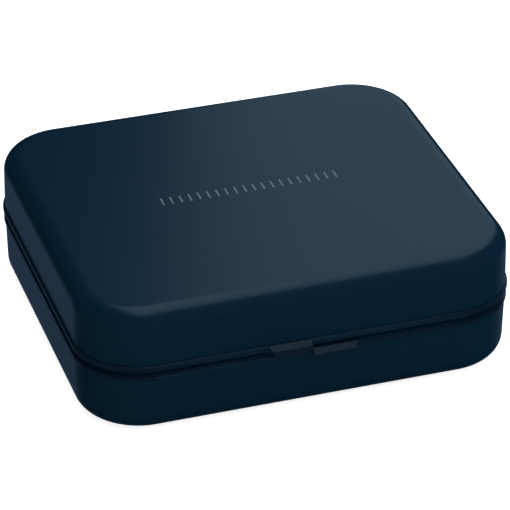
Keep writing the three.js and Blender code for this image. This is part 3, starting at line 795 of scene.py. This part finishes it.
def build_tray():
    plate = [(0.0, TRAY_LO)]
    plate += [(-PLATE_ROLL * (1 - c), TRAY_HI - PLATE_ROLL * (1 - s)) for c, s in quarter(4)]
    ob = skin([case_ring(-PLATE_INSET + o, z, 20) for o, z in plate], "tray_moulding")
    for side, _ in SIDES:
        join(ob, prism(seat_loop(side, WELL_WALL), 2.5, TRAY_LO + 0.2))
        join(ob, prism(hull_loop(side, WELL_WALL), 5.2, TRAY_LO + 0.2))
        add_magnet_post(ob, side, (8.75, 11.1), (7.0, 10.9))
    for x, y in ((-24.0, 29.5), (24.0, 29.5), (0.0, -24.0)):     # screw bosses
        join(ob, cylinder(1.6, 4.1, 11.1, 28, origin=(x, y, 0)))
        cut(ob, cylinder(0.62, 3.0, 8.0, 20, origin=(x, y, 0)))
    for side, _ in SIDES:
        cut_well(ob, side)
    button_hole = [(0, 10), (3.15, 10), (3.15, 11.45), (3.40, 11.7), (3.40, 12.5), (0, 12.5)]
    cut(ob, lathe(button_hole, origin=(0, BUTTON_Y, 0)))
    cut(ob, cylinder(1.0, 10, 12.5, 28, origin=(0, LIGHT_Y, 0)))
    soften(ob, 0.08)
    settle(ob, "base", "tray_plastic", "tray")


# ------------------------------------------------------------------ lid liner and pads
def build_liner():
    lo, hi = PARTING_Z + 1.30, PARTING_Z + 2.10
    cup_r, hollow_r, mouth_r = 2.4, 2.2, 0.6
    cup_turn, hollow_turn = 23.3 - cup_r, 20.3       # heights where the walls roll over
    plate = [(-PLATE_ROLL * (1 - s), lo + PLATE_ROLL * (1 - c)) for c, s in quarter(4)]
    plate.append((0.0, hi))
    ob = skin([case_ring(-PLATE_INSET + o, z, 20) for o, z in plate], "lid_liner_flocked")
    for side, _ in SIDES:
        cup = [at_z(hull_loop(side, WELL_WALL), z) for z in (lo + 0.2, cup_turn)]
        cup += [at_z(hull_loop(side, WELL_WALL - cup_r * (1 - c)), cup_turn + cup_r * s)
                for c, s in quarter(6, 1)]
        join(ob, skin(cup))
        add_magnet_post(ob, side, (hi - 0.2, hi + 2.15), (hi, hi + 4))
        hollow = [at_z(hull_loop(side, mouth_r), lo - 1.5)]
        hollow += [at_z(hull_loop(side, mouth_r * (1 - s)), lo + mouth_r * (1 - c))
                   for c, s in quarter(5)]
        hollow.append(at_z(hull_loop(side, 0), hollow_turn))
        hollow += [at_z(hull_loop(side, -hollow_r * (1 - c)), hollow_turn + hollow_r * s)
                   for c, s in quarter(6, 1)]
        cut(ob, skin(hollow))
    soften(ob, 0.08, 42)
    settle(ob, "lid", "liner_flock", "lid_liner")


def build_pads():
    bottom, top, steps = 21.55, 22.40, 7
    profile = [(0, bottom)]
    for k in range(1, steps + 1):        # a faintly bulged underside
        u = k / steps
        profile.append((8.7 * u, bottom + 0.12 * u * u))
    profile += [(8.95, 21.78), (9.0, 21.95), (9.0, top), (0, top)]
    for side, word in SIDES:
        ob = lathe(profile, "lid_pad_" + word + "_foam", 64, origin=(side * WELL_X, 0, 0))
        settle(ob, "lid", "pad_foam", "lid_pad_" + word)


# ------------------------------------------------------------------ foot panel
def build_foot():
    gap, edge_r, flange, channel = -0.15, 0.22, 1.5, -2.8        # radii and window growths
    flange_z = BASE_BOTTOM + SHELL_T + 0.08
    sections = [at_z(window_loop(gap - edge_r * (1 - s)), edge_r * (1 - c))
                for c, s in quarter(4)]
    sections.append(at_z(window_loop(gap), flange_z))
    sections.append(at_z(window_loop(flange), flange_z))
    sections.append(at_z(window_loop(flange), BASE_BOTTOM + SHELL_T + 0.50))
    ob = skin(sections, "foot_panel_moulding")
    # a shallow ring channel in the underside, as (growth, z)
    groove = [(0, -1), (0.55, -1), (0.55, 0.10), (0.40, 0.14), (0.15, 0.14), (0, 0.10)]
    cut(ob, skin([at_z(window_loop(channel + o), z) for o, z in groove], closed=True))
    soften(ob, 0.04)
    settle(ob, "base", "foot_plastic", "foot_panel")


# ------------------------------------------------------------------ hinge pin and spring
def build_pin():
    end_x, head_x, rod_r, head_r = 18.62, 18.12, 0.6, 1.05
    head = [(head_r - 0.30 * (1 - s), end_x - 0.26 * (1 - c)) for c, s in quarter(5)]
    right = [(rod_r, head_x), (head_r, head_x)] + head[::-1] + [(0, end_x)]
    left = [(r, -x) for r, x in right[::-1]]
    ob = lathe(left + right, "hinge_pin_rod", 40, **hinge_place())
    settle(ob, "base", "pin_steel", "hinge_pin")


def build_spring():
    turns, half_length, coil_r = 5.86, 3.1, 1.0
    leg_reach, leg_turn, leg_x, leg_steps = 0.52, 0.24, 0.05, 8
    start = math.pi * 1.14
    end = start + turns * 2 * math.pi
    steps = int(turns * 40)

    def at(angle, radius, x):
        return (x, HINGE_Y + radius * math.cos(angle), PARTING_Z + radius * math.sin(angle))

    points = []
    for k in range(leg_steps):
        u = 1 - k / leg_steps
        points.append(at(start - leg_turn * u, coil_r + leg_reach * u, -half_length - leg_x * u))
    for i in range(steps + 1):
        u = i / steps
        points.append(at(start + u * turns * 2 * math.pi, coil_r,
                         -half_length + 2 * half_length * u))
    for k in range(1, leg_steps + 1):
        u = k / leg_steps
        points.append(at(end + leg_turn * u, coil_r + leg_reach * u, half_length + leg_x * u))
    ob = tube(points, 0.16, 10, "hinge_spring_wire")
    settle(ob, None, "pin_steel", "hinge_spring")
    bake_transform(ob)


# ------------------------------------------------------------------ USB port
def build_port_can():
    ob = port_slot(PORT_W, PORT_H, 1.3, 27.4, 34.7, "usb_shell_can")
    cut(ob, port_slot(PORT_W - 0.6, PORT_H - 0.6, 1.0, 27.9, 36))
    soften(ob, 0.06)
    settle(ob, "base", "port_steel", "usb_shell")


def build_port_tongue():
    ob = box((-3.6, 3.6), (28.0, 29.2), (PORT_Z - 1.0, PORT_Z + 1.0), "usb_tongue_blade")
    join(ob, box((-3.35, 3.35), (29.0, 33.9), (PORT_Z - 0.35, PORT_Z + 0.35)))
    soften(ob, 0.08)
    settle(ob, "base", "chip_black", "usb_tongue")


def build_port_leads():
    pitch, first_x, half_w, half_t = 0.5, -2.75, 0.13, 0.03
    for k in range(12):
        x = first_x + pitch * k
        for up, letter in ((-1, "b"), (1, "t")):
            z = PORT_Z + up * 0.36
            ob = box((x - half_w, x + half_w), (30.2, 33.5), (z - half_t, z + half_t),
                     f"usb_lead_{letter}{k + 1:02d}")
            settle(ob, "base", "contact_gold")


def build_port_bezel():
    inner_y = 33.3
    ob = port_slot(BEZEL_W, BEZEL_H, BEZEL_R, inner_y, HALF_Y, "usb_bezel_ring")
    join(ob, port_slot(BEZEL_W + 1.4, BEZEL_H + 1.0, 2.7, inner_y, 33.95))
    mouth = ((32.0, 0), (34.95, 0), (HALF_Y, 0.18), (36.5, 0.18))        # (y, flare)
    cut(ob, skin([port_section(PORT_W + 0.26 + 2 * d, PORT_H + 0.24 + 2 * d, 1.45 + d, y)
                  for y, d in mouth]))
    soften(ob, 0.07)
    settle(ob, "base", "bezel_black", "usb_bezel")


# ------------------------------------------------------------------ button, light, contacts
def build_button():
    top, cap_r, edge_h = TRAY_HI + 0.22, 3.0, 0.25
    profile = [(0, 6.05), (0.8, 6.05), (0.8, 10.25), (3.6, 10.25), (3.6, 10.80),
               (cap_r, 10.80), (cap_r, top - edge_h)]
    profile += [(cap_r - 0.22 * (1 - c), top - edge_h + edge_h * s) for c, s in quarter(5, 1)]
    # dished top
    profile += [(2.5, top - 0.02), (2.0, top - 0.07), (1.0, top - 0.13), (0, top - 0.15)]
    ob = lathe(profile, "pairing_button_cap", 64, origin=(0, BUTTON_Y, 0))
    settle(ob, "button", "button_plastic", "pairing_button")


def build_light_pipe():
    radius, shoulder, dome_h = 0.9, TRAY_HI - 0.02, 0.12
    profile = [(0, 4.85), (radius, 4.85), (radius, shoulder)]
    profile += [(radius - 0.3 * (1 - c), shoulder + dome_h * s) for c, s in quarter(5, 1)]
    profile.append((0, shoulder + dome_h))
    ob = lathe(profile, "light_pipe_lens", 36, origin=(0, LIGHT_Y, 0))
    settle(ob, "base", "lens_clear", "light_pipe")


def build_contact_pins():
    radius, shoulder, dome_h = 0.55, 6.92, 0.40
    profile = [(0, 5.05), (0.85, 5.05), (0.85, 5.6), (radius, 5.6), (radius, shoulder)]
    profile += [(radius * c, shoulder + dome_h * s) for c, s in quarter(6, 1)]
    for side, word in SIDES:
        for y, end in ((-CONTACT_Y, "front"), (CONTACT_Y, "rear")):
            name = f"contact_pin_{word}_{end}"
            ob = lathe(profile, name + "_plunger", 32, origin=(side * CONTACT_X, y, 0))
            settle(ob, f"pin_{word}_{end}", "contact_gold", name)


# ------------------------------------------------------------------ printed mark
def build_mark():
    """A plain row of equal ticks on the lid."""
    count, pitch, width, length, center_y = 20, 1.73, 0.36, 2.5, 0.4
    z, thickness = LID_TOP + 0.004, 0.012
    verts, faces = [], []
    for i in range(count):
        x = (i - (count - 1) / 2) * pitch
        outline = rounded_rect(width / 2, length / 2, width / 2 - 0.001, 5, x, center_y)
        n = len(outline)
        first = len(verts)
        verts += at_z(outline, z) + at_z(outline, z + thickness)
        faces.append(tuple(first + j for j in range(n - 1, -1, -1)))
        faces.append(tuple(first + n + j for j in range(n)))
        for j in range(n):
            k = (j + 1) % n
            faces.append((first + j, first + k, first + n + k, first + n + j))
    settle(mesh_object(verts, faces, "lid_mark_ticks"), "lid", "mark_print")


# ------------------------------------------------------------------ assemble
build_lid_shell()
build_base_shell()
build_frame("lid")
build_frame("base")
build_gasket()
build_tray()
build_liner()
build_pads()
build_foot()
build_pin()
build_spring()
build_port_can()
build_port_tongue()
build_port_leads()
build_port_bezel()
build_button()
build_light_pipe()
build_contact_pins()
build_mark()

# the CAD pieces take the finish of their slot
slots = {s["node"]: s["material_slot"] for s in frame["record"]["subparts"]}
for name, ob in frame["nodes"].items():
    ob.data.materials.clear()
    ob.data.materials.append(FINISHES[slots[name]])
    for polygon in ob.data.polygons:
        polygon.material_index = 0


# ------------------------------------------------------------------ floor
def build_floor():
    half, z = 4, -0.00002        # metres
    mesh = bpy.data.meshes.new("floor")
    mesh.from_pydata([(-half, -half, z), (half, -half, z), (half, half, z), (-half, half, z)],
                     [], [(0, 1, 2, 3)])
    floor = bpy.data.objects.new("floor", mesh)
    bpy.context.scene.collection.objects.link(floor)
    f = Finish("floor_pale", (0.90, 0.90, 0.90, 1), rough=0.9, spec=0.0)
    f.vary_color(f.noise(size=90, detail=2), low_color=(0.945, 0.875, 0.815, 1),
                 high_color=(0.955, 0.885, 0.825, 1))
    f.inputs["Emission Color"].default_value = (0.80, 0.775, 0.77, 1.0)
    # a glow for the camera only lifts the shadow it sees
    path = f.tree.nodes.new("ShaderNodeLightPath")
    f.link(path.outputs["Is Camera Ray"], f.inputs["Emission Strength"])
    mesh.materials.append(f.material)
    floor.visible_glossy = False


# ------------------------------------------------------------------ light
ROOM_STRENGTH = 1.6
ROOM_SHADE = 0.70                    # how much the room dims to the upper left
ROOM_TINT = (0.68, 0.86, 1.0, 1.0)
SHEEN_COLOR = (0.56, 0.79, 0.97)     # the metal's sheen is blue
SHEEN_DIM = 0.012                    # the reflected room, as a multiple of the sheen colour
SHEEN_GLOW = (0.062, 0.105, 0.185)   # reflected from the lit floor behind

# the camera's direction, and the plan directions across its view and away from it
VIEW_AZIMUTH, VIEW_ELEVATION = math.radians(-17.996), math.radians(31.272)
ACROSS = Vector((math.cos(VIEW_AZIMUTH), math.sin(VIEW_AZIMUTH), 0.0))
AWAY = Vector((-math.sin(VIEW_AZIMUTH), math.cos(VIEW_AZIMUTH), 0.0))

# all softboxes lie on one plane that slopes down away from the eye
SOFTBOX_HEIGHT, SOFTBOX_SLOPE = 371.0 + LID_TOP, 0.76
# name, (from, to) across the view in mm, (from, to) away from the eye in mm, radiance
SOFTBOXES = (
    ("softbox_far", (-17.9, 201.0), (188.7, 425.0), 0.655),
    ("softbox_over", (-17.0, 199.0), (-475.0, 188.7), 1.13),
    ("softbox_edge", (-95.0, -17.0), (-200.0, 135.0), 1.22),
)


def add_softbox(name, across, away, radiance):
    """A panel that lights only the sheen."""
    light = bpy.data.lights.new(name, "AREA")
    light.shape = "RECTANGLE"
    light.size = (across[1] - across[0]) * MM
    light.size_y = (away[1] - away[0]) * math.hypot(1.0, SOFTBOX_SLOPE) * MM
    light.energy = radiance * math.pi * light.size * light.size_y
    light.color = SHEEN_COLOR
    light.diffuse_factor = 0.0
    ob = bpy.data.objects.new(name, light)
    u, w = sum(across) / 2, sum(away) / 2
    height = Vector((0, 0, SOFTBOX_HEIGHT - SOFTBOX_SLOPE * w))
    ob.location = (ACROSS * u + AWAY * w + height) * MM
    normal = (AWAY * SOFTBOX_SLOPE + Vector((0, 0, 1))).normalized()
    axes = Matrix((ACROSS, normal.cross(ACROSS), normal))
    ob.rotation_euler = axes.transposed().to_euler()
    bpy.context.scene.collection.objects.link(ob)
    ob.visible_camera = False


def build_world():
    world = bpy.data.worlds.new("studio")
    bpy.context.scene.world = world
    world.use_nodes = True
    world.cycles.sampling_method = "NONE"
    tree = world.node_tree
    tree.nodes.clear()
    link = tree.links.new

    def calc(operation, *args):
        node = tree.nodes.new("ShaderNodeMath")
        node.operation = operation
        for i, value in enumerate(args):
            if isinstance(value, (int, float)):
                node.inputs[i].default_value = value
            else:
                link(value, node.inputs[i])
        return node.outputs[0]

    def smooth(value, start, end, low, high):
        return map_range(tree, value, start, end, low, high, smooth=True)

    output = tree.nodes.new("ShaderNodeOutputWorld")
    path = tree.nodes.new("ShaderNodeLightPath")
    matte = tree.nodes.new("ShaderNodeBackground")
    glossy = tree.nodes.new("ShaderNodeBackground")
    mixer = tree.nodes.new("ShaderNodeMixShader")
    link(path.outputs["Is Glossy Ray"], mixer.inputs[0])
    link(matte.outputs[0], mixer.inputs[1])
    link(glossy.outputs[0], mixer.inputs[2])
    link(mixer.outputs[0], output.inputs[0])
    coords = tree.nodes.new("ShaderNodeTexCoord")
    split = tree.nodes.new("ShaderNodeSeparateXYZ")
    link(coords.outputs["Generated"], split.inputs[0])
    x, y, z = (split.outputs[axis] for axis in "XYZ")

    # matte surfaces see a bright soft room, dimmer to the upper left and somewhat to the
    # upper right; the eye sees plain white
    lean = calc("ADD", calc("MULTIPLY", x, -0.75), calc("MULTIPLY", z, 0.66))
    right_dim = calc("MULTIPLY", smooth(x, start=0.15, end=0.90, low=0.0, high=0.3),
                     smooth(z, start=-0.1, end=0.4, low=0.0, high=1.0))
    left_dim = smooth(lean, start=0.10, end=0.85, low=1.0, high=1.0 - ROOM_SHADE)
    room = calc("MULTIPLY", calc("SUBTRACT", left_dim, right_dim), ROOM_STRENGTH)
    eye = path.outputs["Is Camera Ray"]
    not_eye = calc("SUBTRACT", 1.0, eye)
    link(calc("ADD", calc("MULTIPLY", room, not_eye), eye), matte.inputs["Strength"])
    factor, first, second, result = color_mix(tree)
    first.default_value, second.default_value = ROOM_TINT, (1, 1, 1, 1)
    link(eye, factor)
    link(result, matte.inputs["Color"])

    # what the metal sees besides the softboxes: a dim room, its floor lighter behind the case
    low = calc("MULTIPLY", smooth(z, start=-0.45, end=-0.22, low=1.0, high=0.0),
               smooth(z, start=-0.70, end=-0.46, low=0.35, high=1.0))
    behind = calc("MULTIPLY", smooth(y, start=0.0, end=0.40, low=0.0, high=1.0),
                  smooth(x, start=-0.65, end=-0.35, low=0.0, high=1.0))
    factor, first, second, result = color_mix(tree)
    dim = [SHEEN_DIM * c for c in SHEEN_COLOR]
    first.default_value = (*dim, 1.0)
    second.default_value = (*(d + g for d, g in zip(dim, SHEEN_GLOW)), 1.0)
    link(calc("MULTIPLY", low, behind), factor)
    link(result, glossy.inputs["Color"])


# ------------------------------------------------------------------ camera
def build_camera():
    lens = bpy.data.cameras.new("camera")
    camera = bpy.data.objects.new("camera", lens)
    bpy.context.scene.collection.objects.link(camera)
    camera.location = (-0.150647, -0.466712, 0.308112 + BASE_BOTTOM * MM)
    back = -AWAY * math.cos(VIEW_ELEVATION) + Vector((0, 0, math.sin(VIEW_ELEVATION)))
    axes = Matrix((ACROSS, back.cross(ACROSS), back))
    camera.rotation_euler = axes.transposed().to_euler()
    lens.lens = 220.58
    lens.sensor_width = 36.0
    lens.sensor_fit = "HORIZONTAL"
    lens.clip_start, lens.clip_end = 0.01, 20.0
    bpy.context.scene.camera = camera


build_floor()
build_world()
for softbox in SOFTBOXES:
    add_softbox(*softbox)
build_camera()

bpy.context.scene.view_settings.view_transform = "Standard"
bpy.context.scene.view_settings.look = "None"
